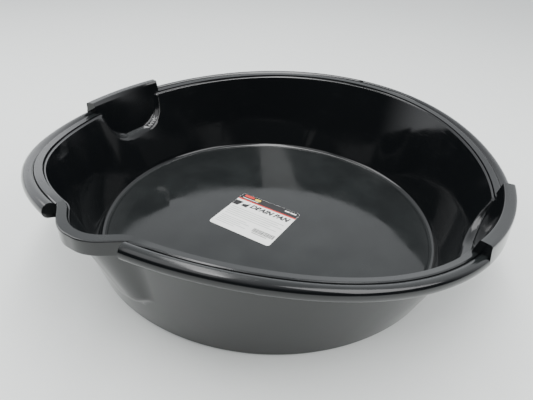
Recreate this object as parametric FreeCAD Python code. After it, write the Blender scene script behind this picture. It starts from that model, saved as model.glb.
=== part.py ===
import FreeCAD, Part

import math
import os

# Oil drain pan: one moulded shell (pan_body) with a paper label (label) stuck
# to its floor.  Millimetres, +Z up, origin at the centre of the base on the
# surface it stands on.  The pouring spout points to -Y, the hanging hole is at
# +Y and the two hand grips are at -X and +X.

Vec = FreeCAD.Vector

# Overall sizes of the pan
base_radius = 177.5         # outside of the foot
rim_radius = 203.9          # inner edge of the rim, mean over the turn
rim_height = 96.8           # top of the rim above the table, mean over the turn
rim_tilt = 10.2             # the spout side stands this much above the mean
rim_saddle = 12.5           # spout and hole rise, grips dip, by this much
rim_sweep = 4.0             # rises towards the spout, and falls again before the hole
rim_oval = 1.1              # spout and hole stand further out, grips closer in
rim_square = 3.0            # all four stand further out than the rim between them

# Shell
wall_thickness = 2.4
floor_thickness = 2.2
floor_lift = 0.8            # middle of the base clears the table by this
foot_width = 5.5            # flat ring that the pan stands on
foot_rounding = 2.4
gutter_width = 3.0          # shallow ring between the floor panel and the wall
gutter_depth = 0.5
corner_radius = 5.0         # inside, between gutter and wall

# Rim: a flange, a fine groove, then a round edge rolled over and down
flange_width = 5.0
flange_rise = 0.9           # the groove stands this much above the inner edge
rim_width = 15.5
brim_rounding = 3.0         # inside edge between wall and flange
groove_width = 0.9
groove_depth = 0.4
roll_rise = 2.2             # crest of the roll above the inner edge
roll_depth = 5.5            # the crest above the roll's widest line
roll_under = 60.0           # degrees that the edge turns under, past its widest line

# Pouring spout
spout_half_width = 28.0     # opening, where it leaves the rim
spout_reach = 12.2          # opening, beyond the rim's inner edge
spout_tip_half = 9.5        # flat of the tip, before its corners are rounded
spout_tip_rounding = 14.0
spout_flange = 6.5
spout_gap_half = 9.0        # the rolled edge stops this many degrees either side
spout_skirt = 11.0
channel_foot = 47.0         # height where the channel starts to run out
channel_foot_half = 18.0
channel_foot_tip = 9.0
channel_foot_reach = 7.0
channel_toe_drop = 9.0      # it reaches the wall this far below
channel_rounding = 5.0

# Hand grips
grip_half_width = 48.0
grip_rise = 12.0            # top of the grip above the rim
grip_inset = 3.7            # its inner edge, outward from the rim's inner edge
grip_width = 9.7
grip_skirt = 20.0
grip_flare = 1.0            # the skirt stands out at its foot by this much
grip_rounding = 2.6
pocket_bottom = 46.0
pocket_depth = 7.0          # recess into the wall at the pocket's bottom
pocket_slant = 9.0          # its ends lean inward by this much
pocket_corner = 26.0

# Hanging hole, through the rolled edge
hole_radius = 2.6
hole_inset = 6.0            # its centre, inward from the outside of the rim

# Paper label
label_width = 75.0
label_length = 67.0
label_thickness = 0.25
label_corner = 3.0
label_x = -11.2
label_y = -9.8
label_turn = 1.0            # degrees about +Z

ring_points = 72
clear_above = 30.0          # cutting shapes end this far above the highest rim
floor_top = floor_lift + floor_thickness
inside_base = base_radius - wall_thickness
roll_drop = roll_depth * (1.0 + math.sin(math.radians(roll_under))) - roll_rise
cut_top = rim_height + rim_tilt + rim_saddle + rim_sweep + clear_above


def rimRadius(angle):
    return rim_radius + rim_oval * math.cos(2.0 * angle) + rim_square * math.cos(4.0 * angle)


def rimTop(angle):
    rise = rim_tilt * math.cos(angle) + rim_saddle * math.cos(2.0 * angle)
    return rim_height + rise + rim_sweep * math.cos(3.0 * angle)


def polar(angle, radius, z):
    # angle 0 is the spout at -Y and a quarter turn is +X
    return Vec(radius * math.sin(angle), -radius * math.cos(angle), z)


def insideRadius(angle, z):
    # inner face of the wall: a straight line from the corner up to the brim
    low = floor_top - gutter_depth + corner_radius
    high = rimTop(angle) - brim_rounding
    share = (z - low) / (high - low)
    return inside_base + (rimRadius(angle) - brim_rounding * 0.6 - inside_base) * share


def lowRing(radius, z):
    # a plain ring, the same height all round
    return [polar(2.0 * math.pi * i / ring_points, radius, z) for i in range(ring_points)]


def rimRing(out, up):
    # a ring that follows the rim, moved outward and upward from its inner edge
    points = []
    for i in range(ring_points):
        angle = 2.0 * math.pi * i / ring_points
        points.append(polar(angle, rimRadius(angle) + out, rimTop(angle) + up))
    return points


def levelRing(ring, z):
    return [Vec(point.x, point.y, z) for point in ring]


def closedEdge(points):
    curve = Part.BSplineCurve()
    curve.interpolate(Points=points, PeriodicFlag=True)
    return curve.toShape()


def outward(solid):
    # faces turned so that their normals point out of the material
    if solid.Volume < 0.0:
        solid.reverse()
    return solid


def ringSolid(rings):
    # straight-sided bands between closed rings, with a flat face at each end
    edges = [closedEdge(ring) for ring in rings]
    faces = [Part.Face(Part.Wire([edges[0]])), Part.Face(Part.Wire([edges[-1]]))]
    for index in range(len(rings) - 1):
        pair = edges[index:index + 2]
        heights = [point.z for point in rings[index] + rings[index + 1]]
        if max(heights) - min(heights) < 1e-9:
            band = Part.makeFace([Part.Wire([edge]) for edge in pair], "Part::FaceMakerBullseye")
        else:
            band = Part.makeRuledSurface(pair[0], pair[1])
        faces.append(band)
    shell = Part.Shell(faces)
    shell.sewShape()
    return outward(Part.Solid(shell.Shells[0]))


def insideRings():
    # from the floor panel, over the gutter and corner, up the wall to the brim
    gutter_top = floor_top - gutter_depth
    panel = inside_base - corner_radius * 0.75 - gutter_width
    rings = [lowRing(panel - gutter_depth, floor_top), lowRing(panel, gutter_top)]
    for degrees in (270.0, 296.0, 322.0, 350.0):
        turn = math.radians(degrees)
        radius = inside_base - corner_radius + corner_radius * math.cos(turn)
        rings.append(lowRing(radius, gutter_top + corner_radius + corner_radius * math.sin(turn)))
    for degrees in (0.0, 30.0, 60.0, 90.0):
        turn = math.radians(degrees)
        out = -0.6 * brim_rounding * (1.0 - math.sin(turn))
        rings.append(rimRing(out, -brim_rounding * math.cos(turn)))
    return rings


def rimRings():
    # from the flange, over the groove and the rolled edge, back under to the wall
    groove = flange_width
    begin = math.radians(150.0)
    arc = (rim_width - groove - groove_width) / (1.0 - math.cos(begin))
    centre = rim_width - arc
    level = roll_rise - roll_depth
    rings = [rimRing(groove, flange_rise), rimRing(groove + groove_width / 2.0, flange_rise - groove_depth)]
    for degrees in (150.0, 125.0, 100.0, 75.0, 50.0, 25.0, 0.0, -0.5 * roll_under, -roll_under):
        turn = math.radians(degrees)
        rings.append(rimRing(centre + arc * math.cos(turn), level + roll_depth * math.sin(turn)))
    for degrees in (-roll_under, -0.5 * roll_under, 0.0, 40.0, 80.0):
        turn = math.radians(degrees)
        out = centre + (arc - wall_thickness) * math.cos(turn)
        rings.append(rimRing(out, level + (roll_depth - wall_thickness) * math.sin(turn)))
    rings.append(rimRing(groove - 0.5, flange_rise - wall_thickness))
    rings.append(rimRing(wall_thickness - 0.6 * brim_rounding + 1.4, -wall_thickness))
    rings.append(rimRing(wall_thickness - 0.6 * brim_rounding, -wall_thickness - 1.4))
    return rings


def outsideRings():
    # down the outer wall and round the foot to the middle of the base
    foot_inside = base_radius - foot_rounding - foot_width
    rings = [lowRing(base_radius, foot_rounding)]
    rings.append(lowRing(base_radius - 0.3 * foot_rounding, 0.3 * foot_rounding))
    rings.append(lowRing(base_radius - foot_rounding, 0.0))
    rings.append(lowRing(foot_inside, 0.0))
    rings.append(lowRing(foot_inside - floor_lift, floor_lift))
    return rings


def makeRing():
    return ringSolid(insideRings() + rimRings() + outsideRings())


def makeCavity():
    rings = insideRings()
    return ringSolid(rings + [levelRing(rings[-1], cut_top)])


def makeWallBlock():
    # everything inside the outer face of the wall, filled
    top = rimRing(wall_thickness - 0.6 * brim_rounding, -wall_thickness - 1.4)
    return ringSolid([lowRing(base_radius, foot_rounding), top, levelRing(top, cut_top)])


def spoutWire(z, half, tip_half, reach_y, base_y, rounding, offset):
    # outline of the spout at one height, moved outward by offset and open to
    # the pan behind; the two corners of the tip are rounded
    run_x = half - tip_half
    run_y = reach_y - base_y
    length = math.hypot(run_x, run_y)
    side_x = half - offset * run_y / length
    side_y = base_y - offset * run_x / length
    tip_y = reach_y - offset
    tip_x = side_x - run_x * (tip_y - side_y) / run_y
    back_y = base_y + 22.0
    radius = rounding + offset
    corner = math.atan2(run_x, -run_y)
    setback = radius * math.tan((math.pi / 2.0 - corner) / 2.0)
    ux = run_x / length
    uy = -run_y / length
    flank = Vec(tip_x + ux * setback, tip_y + uy * setback, z)
    nose = Vec(tip_x - setback, tip_y, z)
    centre_y = tip_y + radius
    bend = (math.pi / 2.0 - corner) / 2.0
    middle = Vec(nose.x + radius * math.sin(bend), centre_y - radius * math.cos(bend), z)
    side = Vec(side_x, side_y, z)
    back = Vec(side_x, back_y, z)
    mirror = [Vec(-v.x, v.y, v.z) for v in (back, side, flank, middle, nose)]
    edges = [Part.LineSegment(mirror[0], mirror[1]).toShape()]
    edges.append(Part.LineSegment(mirror[1], mirror[2]).toShape())
    edges.append(Part.Arc(mirror[2], mirror[3], mirror[4]).toShape())
    edges.append(Part.LineSegment(mirror[4], nose).toShape())
    edges.append(Part.Arc(nose, middle, flank).toShape())
    edges.append(Part.LineSegment(flank, side).toShape())
    edges.append(Part.LineSegment(side, back).toShape())
    edges.append(Part.LineSegment(back, mirror[0]).toShape())
    return Part.Wire(edges)


def spoutCorner():
    # where the spout's opening leaves the rim's inner edge
    angle = math.asin(spout_half_width / rimRadius(0.0))
    return angle, rimRadius(angle) * math.cos(angle), rimTop(angle)


def spoutPrism(offset, z_low, z_high):
    angle, base_y, top = spoutCorner()
    reach = -rimRadius(0.0) - spout_reach
    wire = spoutWire(z_low, spout_half_width, spout_tip_half, reach, -base_y,
                     spout_tip_rounding, offset)
    return Part.Face(wire).extrude(Vec(0.0, 0.0, z_high - z_low))


def channelSolid(offset, top_z):
    angle, base_y, top = spoutCorner()
    reach = -rimRadius(0.0) - spout_reach
    high = spoutWire(top, spout_half_width, spout_tip_half, reach, -base_y,
                     spout_tip_rounding, offset)
    wall = insideRadius(0.0, channel_foot)
    foot = spoutWire(channel_foot, channel_foot_half, channel_foot_tip, -wall - channel_foot_reach,
                     -wall, channel_rounding, offset)
    toe_z = channel_foot - channel_toe_drop - offset
    toe_wall = insideRadius(0.0, toe_z) - 1.0
    toe = spoutWire(toe_z, 0.7 * channel_foot_half, 0.7 * channel_foot_tip, -toe_wall,
                    -toe_wall + channel_foot_reach, channel_rounding, offset)
    solid = Part.makeLoft([toe, foot, high], True, True)
    if top_z > top:
        solid = solid.fuse(spoutPrism(offset, top, top_z))
    return solid


def addSpout(shell, wall_block):
    angle, base_y, top = spoutCorner()
    gap = math.radians(spout_gap_half)
    zone = wedge(1.0, -gap, gap, top - roll_drop - 3.0)
    shell = shell.cut(zone.cut(wall_block))
    plate = spoutPrism(spout_flange, top - wall_thickness, top)
    skirt = spoutPrism(spout_flange, top - spout_skirt, top)
    skirt = skirt.cut(spoutPrism(spout_flange - wall_thickness, top - spout_skirt - 1.0, top))
    behind = Part.makeBox(200.0, 60.0, 60.0, Vec(-100.0, -base_y + 2.0, top - 40.0))
    skirt = skirt.cut(behind).cut(wall_block)
    shell = shell.fuse([plate, skirt, channelSolid(wall_thickness, top)])
    return shell.cut(channelSolid(0.0, cut_top))


def sector(side, section, start, stop, stations):
    # a solid lofted through upright sections at steps of angle about +Z
    wires = []
    for i in range(stations):
        angle = side * (start + (stop - start) * i / (stations - 1))
        points = [polar(angle, radius, z) for radius, z in section(angle)]
        wires.append(Part.makePolygon(points + [points[0]]))
    return outward(Part.makeLoft(wires, True, False))


def gripEdges(angle):
    inner = rimRadius(angle) + grip_inset
    return inner, inner + grip_width, rimTop(angle) + grip_rise


def gripHull(angle):
    inner, outer, top = gripEdges(angle)
    low = top - grip_skirt
    points = [(inner, top), (outer - grip_rounding, top)]
    points.append((outer - 0.3 * grip_rounding, top - 0.3 * grip_rounding))
    points.append((outer, top - grip_rounding))
    points.append((outer + grip_flare, low))
    points.append((inner, low))
    return points


def gripHollow(angle):
    inner, outer, top = gripEdges(angle)
    low = top - grip_skirt
    roof = top - wall_thickness
    points = [(inner - 12.0, roof), (outer - wall_thickness, roof)]
    points.append((outer + grip_flare - wall_thickness, low))
    points.append((outer + grip_flare - wall_thickness, low - 5.0))
    points.append((inner - 12.0, low - 5.0))
    return points


def pocketSection(angle, thickness):
    # the recess under the grip; thickness moves it out to the back of its wall
    inner, outer, top = gripEdges(angle)
    low = pocket_bottom - thickness
    wall = insideRadius(angle, pocket_bottom)
    head = top + (clear_above if thickness == 0.0 else 0.0)
    points = [(wall - 8.0, low), (wall + pocket_depth + thickness, low)]
    points.append((inner + thickness, top))
    points.append((inner + thickness, head + 0.01))
    points.append((wall - 8.0, head + 0.01))
    return points


def pocketFront(side, thickness):
    # the pocket seen from the front: ends that lean in, rounded lower corners
    top = rimTop(math.pi / 2.0) + grip_rise
    wide = grip_half_width + thickness
    narrow = wide - pocket_slant
    low = pocket_bottom - thickness
    rise = top - low
    reach = wide + pocket_slant * clear_above / rise
    corners = [Vec(0.0, -reach, top + clear_above), Vec(0.0, -narrow, low)]
    corners += [Vec(0.0, narrow, low), Vec(0.0, reach, top + clear_above)]
    face = Part.Face(Part.makePolygon(corners + [corners[0]]))
    block = face.extrude(Vec(side * 300.0, 0.0, 0.0))
    lower = []
    for edge in block.Edges:
        ends = [v.Point for v in edge.Vertexes]
        if all(abs(p.z - low) < 1e-6 for p in ends) and abs(ends[0].y - ends[1].y) < 1e-6:
            lower.append(edge)
    return block.makeFillet(pocket_corner + thickness, lower)


def wedge(side, start, stop, low):
    # upright slice between two angles, from a height up past every rim
    corners = [polar(side * start, 120.0, low), polar(side * start, 320.0, low)]
    corners += [polar(side * stop, 320.0, low), polar(side * stop, 120.0, low)]
    face = Part.Face(Part.makePolygon(corners + [corners[0]]))
    return face.extrude(Vec(0.0, 0.0, cut_top - low))


def addGrip(shell, wall_block, side):
    quarter = math.pi / 2.0
    stand = rimRadius(quarter) + grip_inset
    half = math.asin(grip_half_width / stand)
    web = half - math.asin(wall_thickness / stand)
    start = quarter - half - 0.05
    stop = quarter + half + 0.05
    near = wedge(side, quarter - half, quarter + half, 1.0)
    middle = wedge(side, quarter - web, quarter + web, 1.0)
    zone = wedge(side, quarter - half, quarter + half, rimTop(quarter) - roll_drop - 3.0)
    shell = shell.cut(zone.cut(wall_block))
    hull = sector(side, gripHull, start, stop, 9).common(near)
    hollow = sector(side, gripHollow, start, stop, 9).common(middle)
    back = sector(side, lambda a: pocketSection(a, wall_thickness), start, stop, 9)
    back = back.common(pocketFront(side, wall_thickness)).common(near)
    front = sector(side, lambda a: pocketSection(a, 0.0), start, stop, 9)
    front = front.common(pocketFront(side, 0.0)).common(middle)
    shell = shell.fuse([hull.cut(hollow), back])
    return shell.cut(front)


def makeHole():
    centre = polar(math.pi, rimRadius(math.pi) + rim_width - hole_inset, rimTop(math.pi))
    low = centre - Vec(0.0, 0.0, roll_drop + 3.0)
    return Part.makeCylinder(hole_radius, roll_drop + roll_rise + 6.0, low)


def makePan():
    wall_block = makeWallBlock()
    shell = addSpout(makeRing(), wall_block)
    for side in (-1.0, 1.0):
        shell = addGrip(shell, wall_block, side)
    shell = shell.cut(makeCavity())
    return shell.cut(makeHole())


def makeLabel():
    corner = Vec(-label_width / 2.0, -label_length / 2.0, 0.0)
    sheet = Part.makeBox(label_width, label_length, label_thickness, corner)
    upright = [e for e in sheet.Edges if abs(e.Vertexes[0].Z - e.Vertexes[1].Z) > 1e-6]
    sheet = sheet.makeFillet(label_corner, upright)
    sheet.rotate(Vec(0.0, 0.0, 0.0), Vec(0.0, 0.0, 1.0), label_turn)
    sheet.translate(Vec(label_x, label_y, floor_top))
    return sheet


def single(shape):
    return shape.Solids[0] if len(shape.Solids) == 1 else shape


os.makedirs("parts", exist_ok=True)
pan = single(makePan())
sheet = single(makeLabel())
for name, shape in (("pan_body", pan), ("label", sheet)):
    box = shape.BoundBox
    print(name, "solids", len(shape.Solids), "valid", shape.isValid(), "volume", round(shape.Volume))
    print("  box", [round(v, 2) for v in (box.XMin, box.XMax, box.YMin, box.YMax, box.ZMin, box.ZMax)])
    shape.exportStep("parts/" + name + ".step")
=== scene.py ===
import math
import bmesh
import bpy
from mathutils import Matrix, Vector


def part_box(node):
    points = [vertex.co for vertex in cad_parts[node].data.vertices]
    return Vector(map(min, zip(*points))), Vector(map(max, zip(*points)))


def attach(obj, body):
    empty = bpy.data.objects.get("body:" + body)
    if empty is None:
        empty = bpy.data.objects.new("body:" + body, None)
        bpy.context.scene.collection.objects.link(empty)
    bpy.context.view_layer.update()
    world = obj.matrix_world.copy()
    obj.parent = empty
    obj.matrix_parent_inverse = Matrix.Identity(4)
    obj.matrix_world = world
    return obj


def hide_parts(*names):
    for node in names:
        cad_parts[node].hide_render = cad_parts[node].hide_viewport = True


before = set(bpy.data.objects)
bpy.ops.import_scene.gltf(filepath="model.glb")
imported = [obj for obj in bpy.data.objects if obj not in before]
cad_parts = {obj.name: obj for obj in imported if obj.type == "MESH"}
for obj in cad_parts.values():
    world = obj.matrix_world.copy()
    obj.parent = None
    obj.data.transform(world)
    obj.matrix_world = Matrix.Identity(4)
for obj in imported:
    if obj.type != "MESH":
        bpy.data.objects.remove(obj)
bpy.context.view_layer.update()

print("oil drain pan: frame loaded")

cameraSetup = {
    "place": (0.20698, -0.34010, 0.28944),
    "forward": (-0.43921, 0.70780, -0.55317),
    "up": (-0.32897, 0.44619, 0.83225),
    "lens": 30.39,
}


def makeCamera(setup):
    cameraData = bpy.data.cameras.new("camera")
    cameraData.lens = setup["lens"]
    cameraData.sensor_width = 36.0
    cameraData.clip_start = 0.01
    camera = bpy.data.objects.new("camera", cameraData)
    bpy.context.scene.collection.objects.link(camera)
    back = -Vector(setup["forward"]).normalized()
    right = Vector(setup["up"]).cross(back).normalized()
    up = back.cross(right)
    turn = Matrix((right, up, back)).transposed().to_4x4()
    camera.matrix_world = Matrix.Translation(Vector(setup["place"])) @ turn
    bpy.context.scene.camera = camera
    return camera


camera = makeCamera(cameraSetup)
print("camera placed")


def smoothStep(low, high, value):
    t = min(1.0, max(0.0, (value - low) / (high - low)))
    return t * t * (3.0 - 2.0 * t)


def mix(a, b, t):
    return a + (b - a) * t


def arcPoint(x, y, radius, turn):
    return x + radius * math.cos(turn), y + radius * math.sin(turn)


def softMax(a, b, width):
    # the larger of two numbers, rounded over where they cross
    h = max(width - abs(a - b), 0.0) / width
    return max(a, b) + h * h * width * 0.25


def softMin(a, b, width):
    return -softMax(-a, -b, width)


def linkMesh(name, mesh):
    piece = bpy.data.objects.new(name, mesh)
    bpy.context.scene.collection.objects.link(piece)
    return piece


# the pan's sizes, in mm
pan = {
    "baseRadius": 177.5,
    "rimRadius": 203.9,
    "rimHeight": 96.8,
    "rimTilt": 10.2,
    "rimSaddle": 12.5,
    "rimSweep": 4.0,
    "rimOval": 1.1,
    "rimSquare": 3.0,
    "wall": 2.4,
    "floorTop": 3.0,
    "floorLift": 0.8,
    "footWidth": 5.5,
    "footRounding": 2.4,
    "gutterDepth": 0.5,
    "gutterWidth": 3.0,
    "cornerRadius": 5.0,
    "brimRounding": 3.0,
    "flangeWidth": 5.0,
    "flangeRise": 0.9,
    "grooveWidth": 0.9,
    "rimWidth": 15.5,
    "rollRise": 2.2,
    "rollDepth": 5.5,
    "rollUnder": 60.0,
    "holeRadius": 2.6,
    "holeInset": 6.0,
}
spout = {
    "half": 28.0,
    "reach": 12.2,
    "tipHalf": 9.5,
    "rounding": 7.0,
    "flange": 6.5,
    "gapHalf": 9.0,
    "skirt": 11.0,
    "footHeight": 47.0,
    "footHalf": 18.0,
    "footTip": 9.0,
    "footReach": 7.0,
    "toeDrop": 9.0,
    "footRounding": 5.0,
    "leastFlange": 4.0,
    "rimBlend": 3.0,
    "wallBlend": 2.5,
    "edgeRounding": 0.9,
}
grip = {
    "half": 48.0,
    "rise": 12.0,
    "inset": 3.7,
    "width": 9.7,
    "skirt": 20.0,
    "flare": 1.0,
    "rounding": 2.2,
    "pocketBottom": 46.0,
    "pocketDepth": 7.0,
    "pocketSlant": 9.0,
    "pocketCorner": 26.0,
}

insideBase = pan["baseRadius"] - pan["wall"]
gutterTop = pan["floorTop"] - pan["gutterDepth"]
brimReach = 0.6 * pan["brimRounding"]
gripStand = pan["rimRadius"] - pan["rimOval"] + pan["rimSquare"] + grip["inset"]
gripHalfAngle = math.asin(grip["half"] / gripStand)
gapHalfAngle = math.radians(spout["gapHalf"])
rollDrop = pan["rollDepth"] * (1.0 + math.sin(math.radians(pan["rollUnder"]))) - pan["rollRise"]
wallLevels = 44
floorRadii = [10.0, 24.0, 40.0, 58.0, 76.0, 94.0, 112.0, 128.0, 142.0, 154.0, 162.0, 166.5]


def rimRadius(angle):
    oval = pan["rimOval"] * math.cos(2.0 * angle)
    return pan["rimRadius"] + oval + pan["rimSquare"] * math.cos(4.0 * angle)


def rimTop(angle):
    rise = pan["rimTilt"] * math.cos(angle) + pan["rimSaddle"] * math.cos(2.0 * angle)
    return pan["rimHeight"] + rise + pan["rimSweep"] * math.cos(3.0 * angle)


def insideRadius(angle, z):
    low = gutterTop + pan["cornerRadius"]
    high = rimTop(angle) - pan["brimRounding"]
    share = (z - low) / (high - low)
    return insideBase + (rimRadius(angle) - brimReach - insideBase) * share


def outsideRadius(angle, z):
    low = pan["footRounding"]
    high = rimTop(angle) - pan["wall"] - 1.4
    share = (z - low) / (high - low)
    top = rimRadius(angle) - brimReach + pan["wall"]
    return pan["baseRadius"] + (top - pan["baseRadius"]) * share


def outlineRadius(angle, half, tipHalf, reach, base, rounding, offset):
    # how far out the spout's outline is along one ray from the centre
    a = abs(angle)
    if a > 0.6:
        return 0.0
    run = math.hypot(half - tipHalf, reach - base)
    sideX = half + offset * (reach - base) / run
    sideY = base + offset * (half - tipHalf) / run
    slope = -(half - tipHalf) / (reach - base)
    flank = (sideX - slope * sideY) / max(1e-4, math.sin(a) - slope * math.cos(a))
    tip = (reach + offset) / math.cos(a)
    return softMin(flank, tip, rounding)


def spoutOutline(angle, offset):
    corner = math.asin(spout["half"] / rimRadius(0.0))
    base = rimRadius(corner) * math.cos(corner)
    return outlineRadius(angle, spout["half"], spout["tipHalf"], rimRadius(0.0) + spout["reach"],
                         base, spout["rounding"], offset)


def channelRadius(angle, z, offset):
    # the pouring channel under the spout, narrowing down to its toe
    if abs(angle) > 0.3:
        return 0.0
    corner = math.asin(spout["half"] / rimRadius(0.0))
    top = rimTop(0.0)
    foot = spout["footHeight"]
    toe = foot - spout["toeDrop"] - offset
    wallFoot = insideRadius(0.0, foot)
    if z >= foot:
        t = min(1.0, (z - foot) / (top - foot))
        base = mix(wallFoot, rimRadius(corner) * math.cos(corner), t)
        reach = mix(wallFoot + spout["footReach"], rimRadius(0.0) + spout["reach"], t)
        half = mix(spout["footHalf"], spout["half"], t)
        tipHalf = mix(spout["footTip"], spout["tipHalf"], t)
        rounding = mix(spout["footRounding"], spout["rounding"], t)
    elif z > toe - 6.0:
        t = (z - toe) / (foot - toe)
        toeWall = insideRadius(0.0, toe) - 1.0
        bulge = math.sqrt(max(0.0, t)) if t > 0.0 else t
        base = mix(toeWall - spout["footReach"], wallFoot, t)
        reach = mix(toeWall, wallFoot + spout["footReach"], bulge)
        half = mix(0.7 * spout["footHalf"], spout["footHalf"], t)
        tipHalf = mix(0.7 * spout["footTip"], spout["footTip"], t)
        rounding = spout["footRounding"]
    else:
        return 0.0
    return outlineRadius(angle, half, tipHalf, reach, base, rounding, offset)


def gripPlace(angle):
    inner = rimRadius(angle) + grip["inset"]
    return inner, inner + grip["width"], rimTop(angle) + grip["rise"]


def pocketShare(angle, z, grow):
    # 0 outside the grip's pocket, 1 well inside, from a rounded outline
    side = math.sin(abs(angle) - math.pi / 2.0) * gripStand
    top = rimTop(math.pi / 2.0) + grip["rise"]
    low = grip["pocketBottom"] - grow
    lean = grip["pocketSlant"] / (top - low)
    half = grip["half"] + grow - grip["pocketSlant"] + (z - low) * lean
    dx = (abs(side) - half) * math.cos(math.atan(lean))
    dz = low - z
    radius = grip["pocketCorner"]
    qx = dx + radius
    qz = dz + radius
    outside = math.hypot(max(qx, 0.0), max(qz, 0.0)) + min(max(qx, qz), 0.0) - radius
    return smoothStep(0.3, 4.6, -outside)


def pocketRadius(angle, z):
    inner, _, top = gripPlace(angle)
    low = insideRadius(angle, grip["pocketBottom"]) + grip["pocketDepth"]
    share = (z - grip["pocketBottom"]) / (top - grip["pocketBottom"])
    return mix(low, inner, share)


def panelLine(angle):
    # from the middle of the floor out over the gutter and up round the corner
    line = [(radius, pan["floorTop"]) for radius in floorRadii]
    panel = insideBase - 0.75 * pan["cornerRadius"] - pan["gutterWidth"]
    line += [(panel - 0.9, pan["floorTop"]), (panel - 0.45, pan["floorTop"] - 0.12)]
    line += [(panel - 0.1, gutterTop + 0.1), (panel + 0.3, gutterTop)]
    line.append((panel + 0.5 * pan["gutterWidth"], gutterTop))
    radius = pan["cornerRadius"]
    lean = math.atan2(insideRadius(angle, 80.0) - insideRadius(angle, 20.0), 60.0)
    for step in range(8):
        turn = math.radians(270.0) + step / 7.0 * (math.radians(90.0) - lean)
        line.append(arcPoint(insideBase - radius - 0.12, gutterTop + radius, radius, turn))
    return line


def brimLine(angle, edge):
    line = []
    for degrees in (25.0, 50.0, 72.0, 90.0):
        turn = math.radians(degrees)
        out = edge - brimReach * (1.0 - math.sin(turn))
        line.append((out, rimTop(angle) - pan["brimRounding"] * math.cos(turn)))
    return line


def rollPoint(turn, inset):
    # on the rolled edge, outward and upward from the rim's inner edge
    begin = math.radians(150.0)
    arc = (pan["rimWidth"] - pan["flangeWidth"] - pan["grooveWidth"]) / (1.0 - math.cos(begin))
    out = pan["rimWidth"] - arc + (arc - inset) * math.cos(turn)
    return out, pan["rollRise"] - pan["rollDepth"] + (pan["rollDepth"] - inset) * math.sin(turn)


def rimLine(angle):
    # over the flange, the groove and the rolled edge to its lip
    inner = rimRadius(angle)
    top = rimTop(angle)
    rise = pan["flangeRise"] * smoothStep(gapHalfAngle, gapHalfAngle + 0.08, abs(angle))
    line = brimLine(angle, softMax(inner, spoutOutline(angle, 0.0), spout["rimBlend"]))
    flat = pan["flangeWidth"]
    for out in (0.3, 0.55, 0.78, 0.94):
        line.append((inner + flat * out, top + rise * out))
    for out, up in ((0.0, -0.06), (0.3, -0.26), (0.6, -0.40), (0.8, -0.42)):
        line.append((inner + flat + out, top + rise + up))
    for step in range(13):
        out, up = rollPoint(math.radians(mix(150.0, -pan["rollUnder"], step / 12.0)), 0.0)
        line.append((inner + out, top + up))
    return line


def spoutLine(angle):
    # over the spout's flat flange and down its skirt
    top = rimTop(gapHalfAngle)
    edge = softMax(rimRadius(angle), spoutOutline(angle, 0.0), spout["rimBlend"])
    outer = max(spoutOutline(angle, spout["flange"]), edge + spout["leastFlange"])
    rounding = spout["edgeRounding"]
    line = [(out, z + top - rimTop(angle)) for out, z in brimLine(angle, edge)]
    for share in (0.25, 0.5, 0.75, 0.93):
        line.append((mix(edge, outer - rounding, share), top))
    for degrees in (90.0, 60.0, 30.0, 0.0):
        turn = math.radians(degrees)
        line.append(arcPoint(outer - rounding, top - rounding, rounding, turn))
    for step in range(11):
        line.append((outer, top - mix(1.4, spout["skirt"] - 0.5, step / 10.0)))
    line.append((outer - 0.05, top - spout["skirt"] + 0.2))
    line.append((outer - 0.35, top - spout["skirt"]))
    return line


def gripLine(angle):
    # up the pocket's back, over the grip and down its skirt
    inner = rimRadius(angle)
    top = rimTop(angle)
    edge, outer, crown = gripPlace(angle)
    line = []
    for out, z in brimLine(angle, inner):
        line.append((mix(out, max(out, pocketRadius(angle, z)), pocketShare(angle, z, 0.0)), z))
    for z in (top + 0.02, top + 0.3 * grip["rise"], top + 0.6 * grip["rise"], crown - 1.0):
        line.append((pocketRadius(angle, z), z))
    for degrees in (30.0, 60.0, 90.0):
        turn = math.radians(degrees)
        line.append((edge + 1.0 - math.cos(turn), crown - 1.0 + math.sin(turn)))
    rounding = grip["rounding"]
    line += [(mix(edge, outer, share), crown) for share in (0.3, 0.6)]
    for degrees in (90.0, 67.0, 45.0, 22.0, 0.0):
        turn = math.radians(degrees)
        line.append(arcPoint(outer - rounding, crown - rounding, rounding, turn))
    low = crown - grip["skirt"]
    for share in (0.12, 0.3, 0.5, 0.7, 0.85, 0.97):
        line.append((outer + grip["flare"] * share, mix(crown - rounding, low, share)))
    line.append((outer + grip["flare"] - 0.4, low))
    return line


def upperLine(angle, kind):
    # from the middle of the floor, up the inside and over the rim to its lip
    line = panelLine(angle)
    low = line[-1][1]
    high = (rimTop(gapHalfAngle) if kind == "spout" else rimTop(angle)) - pan["brimRounding"]
    for step in range(1, wallLevels + 1):
        z = mix(low, high, step / wallLevels)
        wall = insideRadius(angle, z)
        if kind == "grip":
            wall = mix(wall, max(wall, pocketRadius(angle, z)), pocketShare(angle, z, 0.0))
        else:
            wall = softMax(wall, channelRadius(angle, z, 0.0), spout["wallBlend"])
        line.append((wall, z))
    return line + {"rim": rimLine, "spout": spoutLine, "grip": gripLine}[kind](angle)


def underRim(angle):
    inner = rimRadius(angle)
    top = rimTop(angle)
    wall = pan["wall"]
    line = []
    for step in range(6):
        out, up = rollPoint(math.radians(mix(-pan["rollUnder"], 80.0, step / 5.0)), wall)
        line.append((inner + out, top + up))
    flat = inner + pan["flangeWidth"] - 0.5
    back = inner - brimReach + wall
    line += [(mix(flat, back, share), top - mix(1.5, wall, share)) for share in (0.0, 0.5, 0.9)]
    line.append((back + 0.3, top - wall - 0.5))
    return line


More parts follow.
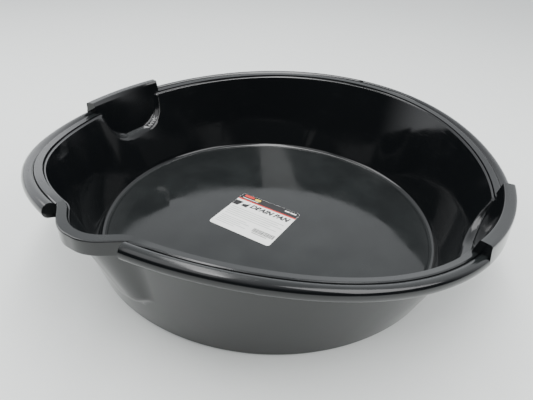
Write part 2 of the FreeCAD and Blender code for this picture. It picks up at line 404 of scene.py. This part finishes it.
def underSpout(angle):
    top = rimTop(gapHalfAngle)
    wall = pan["wall"]
    edge = softMax(rimRadius(angle), spoutOutline(angle, 0.0), spout["rimBlend"])
    outer = max(spoutOutline(angle, spout["flange"]), edge + spout["leastFlange"]) - wall
    line = [(outer, top - mix(wall, spout["skirt"], share)) for share in (1.0, 0.7, 0.35, 0.05)]
    back = edge - brimReach + wall
    line += [(mix(outer, back, share), top - wall) for share in (0.1, 0.3, 0.5, 0.7, 0.9)]
    line.append((back + 0.1, top - wall - 0.5))
    return line


def underGrip(angle):
    top = rimTop(angle)
    wall = pan["wall"]
    _, outer, crown = gripPlace(angle)
    low = crown - grip["skirt"]
    roof = crown - wall
    line = []
    for share in (1.0, 0.8, 0.4, 0.08):
        line.append((outer + grip["flare"] * share - wall, mix(roof, low, share)))
    back = pocketRadius(angle, roof) + wall
    line += [(mix(outer - wall, back, share), roof) for share in (0.1, 0.35, 0.65, 0.9)]
    line.append((back, roof - 0.4))
    line.append((pocketRadius(angle, top) + wall, top - 1.0))
    return line


def underWeb(angle, drop, lip):
    # the closed end of a hollow roll or grip
    top = rimTop(angle)
    back = outsideRadius(angle, top - drop)
    return [(mix(lip, back, share / 9.0), top - drop) for share in range(10)]


def lowerLine(angle, kind):
    # from the lip back under the rim, down the outside and under the base
    wall = pan["wall"]
    high = rimTop(angle) - wall - 1.4
    cap = high
    if kind == "grip":
        line = underGrip(angle)
    elif kind == "spout":
        line = underSpout(angle)
    elif kind == "web":
        lip = rollPoint(-math.radians(pan["rollUnder"]), 0.0)[0]
        line = underWeb(angle, rollDrop, rimRadius(angle) + lip - 0.2)
        cap = rimTop(angle) - rollDrop
    else:
        line = underRim(angle)
    low = pan["footRounding"]
    for step in range(wallLevels, -1, -1):
        z = min(mix(low, high, step / wallLevels), cap)
        out = outsideRadius(angle, z)
        if kind == "grip":
            out = mix(out, max(out, pocketRadius(angle, z) + wall), pocketShare(angle, z, wall))
        else:
            out = softMax(out, channelRadius(angle, z, wall), spout["wallBlend"])
        line.append((out, z))
    rounding = pan["footRounding"]
    for degrees in (22.0, 45.0, 67.0, 90.0):
        turn = math.radians(degrees)
        line.append(arcPoint(pan["baseRadius"] - rounding, rounding, rounding, -turn))
    footInside = pan["baseRadius"] - rounding - pan["footWidth"]
    line += [(footInside, 0.0), (footInside - 0.3, 0.2), (footInside - 0.9, pan["floorLift"])]
    line += [(radius, pan["floorLift"]) for radius in (160.0, 120.0, 70.0, 20.0)]
    return line


def panColumns():
    # angles round the pan, closer together at the spout and the grips
    columns = []
    quarter = math.pi / 2.0
    gripWeb = gripHalfAngle - math.asin(pan["wall"] / gripStand)
    rollWeb = gapHalfAngle + math.asin(pan["wall"] / pan["rimRadius"])
    spoutEnd = math.radians(16.0)

    def stretch(start, stop, gap, kind, ends):
        count = max(1, int(math.ceil((stop - start) / math.radians(gap))))
        first = 0 if ends[0] else 1
        last = count if ends[1] else count - 1
        for index in range(first, last + 1):
            columns.append((mix(start, stop, index / count), kind, kind))

    def gripColumns(middle):
        left = middle - gripHalfAngle
        right = middle + gripHalfAngle
        columns.append((left, "rim", "rim"))
        columns.append((left, "grip", "rim"))
        columns.append((middle - gripWeb, "grip", "rim"))
        stretch(middle - gripWeb, middle - 0.16, 0.25, "grip", (True, False))
        stretch(middle - 0.16, middle + 0.16, 0.8, "grip", (True, True))
        stretch(middle + 0.16, middle + gripWeb, 0.25, "grip", (False, True))
        columns.append((middle + gripWeb, "grip", "rim"))
        columns.append((right, "grip", "rim"))
        columns.append((right, "rim", "rim"))

    stretch(-gapHalfAngle, gapHalfAngle, 0.2, "spout", (True, True))
    columns += [(gapHalfAngle, "rim", "web"), (rollWeb, "rim", "web")]
    stretch(rollWeb, spoutEnd, 0.3, "rim", (True, False))
    stretch(spoutEnd, quarter - gripHalfAngle, 0.8, "rim", (True, False))
    gripColumns(quarter)
    stretch(quarter + gripHalfAngle, 3.0 * quarter - gripHalfAngle, 0.8, "rim", (False, False))
    gripColumns(3.0 * quarter)
    stretch(3.0 * quarter + gripHalfAngle, 4.0 * quarter - spoutEnd, 0.8, "rim", (False, False))
    stretch(4.0 * quarter - spoutEnd, 4.0 * quarter - rollWeb, 0.3, "rim", (True, True))
    columns += [(-rollWeb, "rim", "web"), (-gapHalfAngle, "rim", "web")]
    return columns


def wrapAngle(angle):
    return (angle + math.pi) % (2.0 * math.pi) - math.pi


def ringPoint(radius, z, turn):
    # in metres, with the spout along -Y
    return 0.001 * radius * math.sin(turn), -0.001 * radius * math.cos(turn), 0.001 * z


def makePan():
    mesh = bpy.data.meshes.new("drainPan")
    shape = bmesh.new()
    rows = []
    for angle, upper, lower in panColumns():
        turn = wrapAngle(angle)
        line = upperLine(turn, upper) + lowerLine(turn, lower)
        rows.append([shape.verts.new(ringPoint(radius, z, turn)) for radius, z in line])
    middleTop = shape.verts.new((0.0, 0.0, 0.001 * pan["floorTop"]))
    middleLow = shape.verts.new((0.0, 0.0, 0.001 * pan["floorLift"]))
    for index in range(len(rows)):
        here = rows[index]
        after = rows[(index + 1) % len(rows)]
        shape.faces.new((middleTop, here[0], after[0]))
        shape.faces.new((middleLow, after[-1], here[-1]))
        for a, b, c, d in zip(here, here[1:], after[1:], after):
            shape.faces.new((a, b, c, d))
    bmesh.ops.remove_doubles(shape, verts=shape.verts, dist=0.000004)
    bmesh.ops.dissolve_degenerate(shape, edges=shape.edges, dist=0.000002)
    bmesh.ops.recalc_face_normals(shape, faces=shape.faces)
    for face in shape.faces:
        face.smooth = True
    shape.to_mesh(mesh)
    shape.free()
    return linkMesh("drainPan", mesh)


def cutHole(piece):
    # the hanging hole, straight down through the rolled edge
    mesh = bpy.data.meshes.new("holeCutter")
    shape = bmesh.new()
    bmesh.ops.create_cone(shape, cap_ends=True, segments=32, radius1=0.001 * pan["holeRadius"],
                          radius2=0.001 * pan["holeRadius"], depth=0.03)
    shape.to_mesh(mesh)
    shape.free()
    cutter = linkMesh("holeCutter", mesh)
    out = rimRadius(math.pi) + pan["rimWidth"] - pan["holeInset"]
    cutter.location = (0.0, 0.001 * out, 0.001 * rimTop(math.pi))
    cut = piece.modifiers.new("hole", "BOOLEAN")
    cut.operation = "DIFFERENCE"
    cut.solver = "EXACT"
    cut.object = cutter
    bpy.context.view_layer.update()
    ready = piece.evaluated_get(bpy.context.evaluated_depsgraph_get())
    holed = bpy.data.meshes.new_from_object(ready)
    piece.modifiers.clear()
    piece.data = holed
    bpy.data.objects.remove(cutter)
    holed.set_sharp_from_angle(angle=math.radians(38.0))


panPiece = makePan()
cutHole(panPiece)
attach(panPiece, "root")
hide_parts("pan_body")
print("pan made:", len(panPiece.data.vertices), "points")

# black moulded plastic
plasticLook = {
    "colour": (0.0045, 0.0052, 0.0058, 1.0),
    # the grey mixed into the black stands for dust specks and for a painted sheen on the flange and the
    # floor
    "sheenAndDustColour": (0.082, 0.094, 0.091, 1.0),
    "dustAndFlangeSheenAmount": 0.10,
    "floorPaintedSheen": 0.15,
    "flangePaintedSheen": 0.80,
    "wallRoughness": 0.085,
    "topRoughness": 0.13,
    "waveHeight": 0.0011,
    "waveScale": 10.0,
    "streakScale": 420.0,
    "patchScale": 26.0,
    "speckScale": 520.0,
    "grainScale": 2600.0,
    "scratchStrength": 0.20,
    "grainStrength": 0.05,
}


def addNode(tree, kind, **inputs):
    node = tree.nodes.new(kind)
    for key, value in inputs.items():
        node.inputs[key].default_value = value
    return node


def addMath(tree, operation, first, second):
    node = tree.nodes.new("ShaderNodeMath")
    node.operation = operation
    for index, value in enumerate((first, second)):
        if isinstance(value, float):
            node.inputs[index].default_value = value
        else:
            tree.links.new(value, node.inputs[index])
    return node.outputs[0]


def addRange(tree, value, low, high, start, stop):
    node = tree.nodes.new("ShaderNodeMapRange")
    node.interpolation_type = "SMOOTHSTEP"
    node.inputs["From Min"].default_value = low
    node.inputs["From Max"].default_value = high
    node.inputs["To Min"].default_value = start
    node.inputs["To Max"].default_value = stop
    tree.links.new(value, node.inputs["Value"])
    return node.outputs["Result"]


def addNoise(tree, vector, scale, detail):
    node = addNode(tree, "ShaderNodeTexNoise", Scale=scale, Detail=detail)
    tree.links.new(vector, node.inputs["Vector"])
    return node.outputs["Fac"]


def addBump(tree, height, distance, strength, before):
    node = addNode(tree, "ShaderNodeBump", Strength=strength, Distance=distance)
    tree.links.new(height, node.inputs["Height"])
    if before is not None:
        tree.links.new(before, node.inputs["Normal"])
    return node.outputs["Normal"]


def makePlastic(look):
    material = bpy.data.materials.new("blackPlastic")
    material.use_nodes = True
    tree = material.node_tree
    shader = tree.nodes["Principled BSDF"]
    shader.inputs["IOR"].default_value = 1.5
    place = tree.nodes.new("ShaderNodeTexCoord").outputs["Object"]
    parts = tree.nodes.new("ShaderNodeSeparateXYZ")
    tree.links.new(place, parts.inputs[0])
    facing = tree.nodes.new("ShaderNodeSeparateXYZ")
    tree.links.new(tree.nodes.new("ShaderNodeNewGeometry").outputs["Normal"], facing.inputs[0])

    # round-the-pan coordinates for marks that run with the rim
    turn = addMath(tree, "ARCTAN2", parts.outputs["Y"], parts.outputs["X"])
    flatX = addMath(tree, "POWER", parts.outputs["X"], 2.0)
    flatY = addMath(tree, "POWER", parts.outputs["Y"], 2.0)
    radius = addMath(tree, "SQRT", addMath(tree, "ADD", flatX, flatY), 0.0)
    around = tree.nodes.new("ShaderNodeCombineXYZ")
    tree.links.new(addMath(tree, "MULTIPLY", turn, 0.02), around.inputs["X"])
    tree.links.new(radius, around.inputs["Y"])
    tree.links.new(parts.outputs["Z"], around.inputs["Z"])
    streaks = addNoise(tree, around.outputs[0], look["streakScale"], 3.0)

    waves = addNoise(tree, place, look["waveScale"], 1.5)
    patches = addNoise(tree, place, look["patchScale"], 3.0)
    specks = addNoise(tree, place, look["speckScale"], 2.0)
    grain = addNoise(tree, place, look["grainScale"], 2.0)
    # upward faces high on the pan: rougher there, and the mask for the painted sheen on the flange
    level = addRange(tree, facing.outputs["Z"], 0.75, 0.98, 0.0, 1.0)
    high = addRange(tree, parts.outputs["Z"], 0.060, 0.080, 0.0, 1.0)
    satin = addMath(tree, "MULTIPLY", level, high)

    rough = addMath(tree, "MULTIPLY", satin, look["topRoughness"])
    rough = addMath(tree, "ADD", rough, look["wallRoughness"])
    rough = addMath(tree, "ADD", rough, addRange(tree, patches, 0.35, 0.75, -0.02, 0.07))
    rough = addMath(tree, "ADD", rough, addRange(tree, streaks, 0.62, 0.75, 0.0, 0.10))
    tree.links.new(rough, shader.inputs["Roughness"])

    # dust specks, most on upward faces, plus a painted sheen on the flange top: grey mixed into the colour
    # there in place of its reflection of the bright sky
    dustAndSheen = addRange(tree, specks, 0.66, 0.80, 0.0, 1.0)
    dustAndSheen = addMath(tree, "MULTIPLY", dustAndSheen, addRange(tree, patches, 0.45, 0.70, 0.15, 1.0))
    dustAndSheen = addMath(tree, "MULTIPLY", dustAndSheen, addRange(tree, facing.outputs["Z"], 0.2, 0.9, 0.2, 1.0))
    dustAndSheen = addMath(tree, "ADD", dustAndSheen, addMath(tree, "MULTIPLY", satin, look["flangePaintedSheen"]))
    dustAndSheen = addMath(tree, "MULTIPLY", dustAndSheen, look["dustAndFlangeSheenAmount"])
    # painted sheen on the pan's floor: grey mixed into upward faces below the rim, patchy, in place of the
    # floor's reflection of the bright backdrop
    low = addMath(tree, "MULTIPLY", level, addMath(tree, "SUBTRACT", 1.0, high))
    clouds = addRange(tree, patches, 0.25, 0.80, 0.5 * look["floorPaintedSheen"], look["floorPaintedSheen"])
    floorSheen = addMath(tree, "MULTIPLY", low, clouds)
    dustAndSheen = addMath(tree, "ADD", dustAndSheen, floorSheen)
    # black plastic lightened towards grey by dust specks and by the painted sheen
    colour = tree.nodes.new("ShaderNodeMix")
    colour.data_type = "RGBA"
    colour.inputs["A"].default_value = look["colour"]
    colour.inputs["B"].default_value = look["sheenAndDustColour"]
    tree.links.new(dustAndSheen, colour.inputs["Factor"])
    tree.links.new(colour.outputs["Result"], shader.inputs["Base Color"])

    normal = addBump(tree, waves, look["waveHeight"], 1.0, None)
    scratches = addRange(tree, streaks, 0.60, 0.78, 0.0, 1.0)
    normal = addBump(tree, scratches, 0.00006, look["scratchStrength"], normal)
    normal = addBump(tree, grain, 0.00003, look["grainStrength"], normal)
    tree.links.new(normal, shader.inputs["Normal"])
    return material


blackPlastic = makePlastic(plasticLook)
panPiece.data.materials.clear()
panPiece.data.materials.append(blackPlastic)
print("plastic made")

# the paper label and its print, in mm from the label's centre
labelLook = {
    "centre": (-11.2, -9.8),
    "turn": 1.0,
    "half": (37.5, 33.5),
    "corner": 3.0,
    "margin": 0.12,
    "words": "DRAIN PAN",
    "wordSize": 9.0,
    "wordPlace": (-16.2, 12.4),
    "wordSlant": 0.28,
    "wordBold": 0.50,
    "paper": (0.91, 0.92, 0.89, 1.0),
    "black": (0.012, 0.012, 0.013, 1.0),
    "red": (0.62, 0.035, 0.022, 1.0),
    "yellow": (0.85, 0.62, 0.04, 1.0),
    "grey": (0.46, 0.49, 0.47, 1.0),
}


def makeInk(name, colour, roughness, spread):
    # coated paper: slightly uneven colour and sheen with fine fibres
    material = bpy.data.materials.new(name)
    material.use_nodes = True
    tree = material.node_tree
    shader = tree.nodes["Principled BSDF"]
    place = tree.nodes.new("ShaderNodeTexCoord").outputs["Object"]
    cloud = addNoise(tree, place, 60.0, 3.0)
    fibre = addNoise(tree, place, 1800.0, 3.0)
    shade = tree.nodes.new("ShaderNodeMix")
    shade.data_type = "RGBA"
    shade.inputs["A"].default_value = colour
    shade.inputs["B"].default_value = [channel * (1.0 - spread) for channel in colour[:3]] + [1.0]
    tree.links.new(addRange(tree, cloud, 0.4, 0.75, 0.0, 1.0), shade.inputs["Factor"])
    tree.links.new(shade.outputs["Result"], shader.inputs["Base Color"])
    rough = addRange(tree, cloud, 0.3, 0.7, roughness - 0.05, roughness + 0.08)
    tree.links.new(rough, shader.inputs["Roughness"])
    normal = addBump(tree, cloud, 0.0004, 0.6, None)
    tree.links.new(addBump(tree, fibre, 0.00002, 0.4, normal), shader.inputs["Normal"])
    return material


def panelOutline(x0, y0, x1, y1, radii):
    # a rectangle with its own rounding at each corner, from lower left round
    corners = ((x0, y0, 1, 1, 180.0), (x1, y0, -1, 1, 270.0), (x1, y1, -1, -1, 0.0), (x0, y1, 1, -1, 90.0))
    points = []
    for (x, y, towardX, towardY, start), radius in zip(corners, radii):
        if radius == 0.0:
            points.append((x, y))
            continue
        for step in range(7):
            turn = math.radians(start + 15.0 * step)
            points.append(arcPoint(x + towardX * radius, y + towardY * radius, radius, turn))
    return points


def printPiece(name, outlines, height, material):
    # flat ink on the label, each outline a list of points in mm
    mesh = bpy.data.meshes.new(name)
    shape = bmesh.new()
    for points in outlines:
        shape.faces.new([shape.verts.new((0.001 * x, 0.001 * y, 0.0)) for x, y in points])
    shape.to_mesh(mesh)
    shape.free()
    return placeOnLabel(linkMesh(name, mesh), height, material)


def placeOnLabel(piece, height, material):
    x, y = labelLook["centre"]
    turn = Matrix.Rotation(math.radians(labelLook["turn"]), 4, "Z")
    place = Matrix.Translation((0.001 * x, 0.001 * y, labelTop + 0.001 * height))
    piece.data.transform(place @ turn)
    piece.data.materials.clear()
    piece.data.materials.append(material)
    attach(piece, "root")
    return piece


def makeWords(look, height, material):
    words = bpy.data.curves.new("labelWords", "FONT")
    words.body = look["words"]
    words.size = 0.001 * look["wordSize"]
    words.shear = look["wordSlant"]
    words.offset = 0.001 * look["wordBold"]
    words.space_character = 1.02
    holder = bpy.data.objects.new("labelWordsCurve", words)
    bpy.context.scene.collection.objects.link(holder)
    bpy.context.view_layer.update()
    mesh = bpy.data.meshes.new_from_object(holder.evaluated_get(bpy.context.evaluated_depsgraph_get()))
    bpy.data.objects.remove(holder)
    mesh.name = "labelWords"
    x, y = look["wordPlace"]
    mesh.transform(Matrix.Translation((0.001 * x, 0.001 * y, 0.0)))
    return placeOnLabel(linkMesh("labelWords", mesh), height, material)


def box(x0, y0, x1, y1):
    return panelOutline(x0, y0, x1, y1, (0.0, 0.0, 0.0, 0.0))


def makeLabelPrint(look):
    halfX = look["half"][0] - look["margin"]
    halfY = look["half"][1] - look["margin"]
    corner = look["corner"]
    inks = {
        "black": makeInk("inkBlack", look["black"], 0.30, 0.1),
        "red": makeInk("inkRed", look["red"], 0.32, 0.12),
        "yellow": makeInk("inkYellow", look["yellow"], 0.34, 0.1),
        "grey": makeInk("inkGrey", look["grey"], 0.42, 0.15),
        "white": makeInk("inkWhite", look["paper"], 0.38, 0.05),
    }
    band = panelOutline(-halfX, 23.4, halfX, halfY, (0.0, 0.0, corner, corner))
    block = [(-halfX, 8.6), (-30.2, 8.6), (-27.2, 17.8), (-halfX, 17.8)]
    swoosh = [(-26.4, 10.4), (-19.0, 9.6), (-17.6, 18.6), (-21.5, 15.4), (-25.6, 14.6)]
    printPiece("labelBand", [band, block, swoosh], 0.012, inks["black"])
    printPiece("labelStripe", [box(-halfX, 21.3, halfX, 23.4)], 0.012, inks["red"])
    mark = panelOutline(-33.8, 28.4, -21.0, 32.2, (1.9, 0.4, 1.9, 0.4))
    printPiece("labelMarkRed", [mark], 0.022, inks["red"])
    dot = panelOutline(-19.6, 27.4, -11.8, 31.2, (1.9, 1.9, 1.9, 1.9))
    printPiece("labelMarkYellow", [dot], 0.022, inks["yellow"])
    small = [box(20.0, 28.6, 26.0, 30.4), box(27.0, 28.6, 34.2, 30.4), box(-33.6, 25.2, -13.0, 26.1)]
    printPiece("labelSmallWhite", small, 0.022, inks["white"])
    lines = []
    for row, (start, stop) in enumerate(((-34, 33), (-34, 28), (-34, 34), (-34, 22), (-34, 31))):
        y = 4.2 - 3.4 * row
        lines.append(box(start, y, stop, y + 0.9))
    for row, stop in enumerate((-2, 3, -6, 2, -10)):
        y = -14.6 - 3.0 * row
        lines.append(box(-34.0, y, stop, y + 0.9))
    printPiece("labelLines", lines, 0.012, inks["grey"])
    bars = []
    x = 9.6
    for index in range(24):
        wide = 0.34 + 0.30 * ((index * 7) % 3)
        bars.append(box(x, -22.6, x + wide, -16.0))
        x += wide + 0.34 + 0.22 * ((index * 5) % 2)
    bars.append(box(11.0, -24.6, 29.0, -23.7))
    printPiece("labelBars", bars, 0.012, inks["black"])
    makeWords(look, 0.012, inks["black"])


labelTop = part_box("label")[1][2]
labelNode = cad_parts["label"]
labelNode.data.materials.clear()
labelNode.data.materials.append(makeInk("labelPaper", labelLook["paper"], 0.40, 0.06))
makeLabelPrint(labelLook)
print("label printed")

# pale studio floor, a sky that is bright behind the pan and dark behind the viewer, and soft lamps
stageLook = {
    "floorColour": (0.845, 0.87, 0.85, 1.0),
    "skyColour": (0.95, 0.97, 1.0, 1.0),
    "skyBack": 1.62,
    "skyFront": 0.02,
    "skyTop": 1.00,
    "lamps": (
        {"place": (0.0, 0.0, 1.20), "size": (0.26, 1.60), "turn": 32.0, "power": 13.0},
        {"place": (0.10, -0.90, 1.30), "size": (1.10, 1.10), "turn": 0.0, "power": 5.0},
        {"place": (1.05, 0.10, 0.95), "size": (0.80, 0.80), "turn": 0.0, "power": 10.0},
        {"place": (-0.95, -0.40, 0.95), "size": (0.80, 0.80), "turn": 0.0, "power": 10.0},
    ),
}


def makeSky(look):
    world = bpy.data.worlds.new("studio")
    bpy.context.scene.world = world
    world.use_nodes = True
    tree = world.node_tree
    background = tree.nodes["Background"]
    background.inputs["Color"].default_value = look["skyColour"]
    parts = tree.nodes.new("ShaderNodeSeparateXYZ")
    tree.links.new(tree.nodes.new("ShaderNodeTexCoord").outputs["Generated"], parts.inputs[0])
    forward = Vector(cameraSetup["forward"])
    away = Vector((forward.x, forward.y, 0.0)).normalized()
    alongX = addMath(tree, "MULTIPLY", parts.outputs["X"], away.x)
    alongY = addMath(tree, "MULTIPLY", parts.outputs["Y"], away.y)
    along = addMath(tree, "ADD", alongX, alongY)
    level = addRange(tree, along, -0.25, 0.35, look["skyFront"], look["skyBack"])
    above = addRange(tree, parts.outputs["Z"], 0.35, 0.85, 0.0, 1.0)
    rest = addMath(tree, "MULTIPLY", level, addMath(tree, "SUBTRACT", 1.0, above))
    strength = addMath(tree, "ADD", rest, addMath(tree, "MULTIPLY", above, look["skyTop"]))
    tree.links.new(strength, background.inputs["Strength"])


def makeStage(look):
    mesh = bpy.data.meshes.new("studioFloor")
    shape = bmesh.new()
    bmesh.ops.create_grid(shape, x_segments=1, y_segments=1, size=8.0)
    shape.to_mesh(mesh)
    shape.free()
    floor = linkMesh("studioFloor", mesh)
    floor.data.materials.append(makeInk("studioPaper", look["floorColour"], 0.75, 0.01))
    for index, setup in enumerate(look["lamps"]):
        lampData = bpy.data.lights.new("softLamp%d" % index, "AREA")
        lampData.shape = "RECTANGLE"
        lampData.size, lampData.size_y = setup["size"]
        lampData.energy = setup["power"]
        lamp = bpy.data.objects.new(lampData.name, lampData)
        bpy.context.scene.collection.objects.link(lamp)
        lamp.location = setup["place"]
        aim = (-lamp.location).to_track_quat("-Z", "Y").to_matrix()
        lamp.rotation_euler = (aim @ Matrix.Rotation(math.radians(setup["turn"]), 3, "Z")).to_euler()
    return floor


makeSky(stageLook)
studioFloor = makeStage(stageLook)
print("stage and light made")
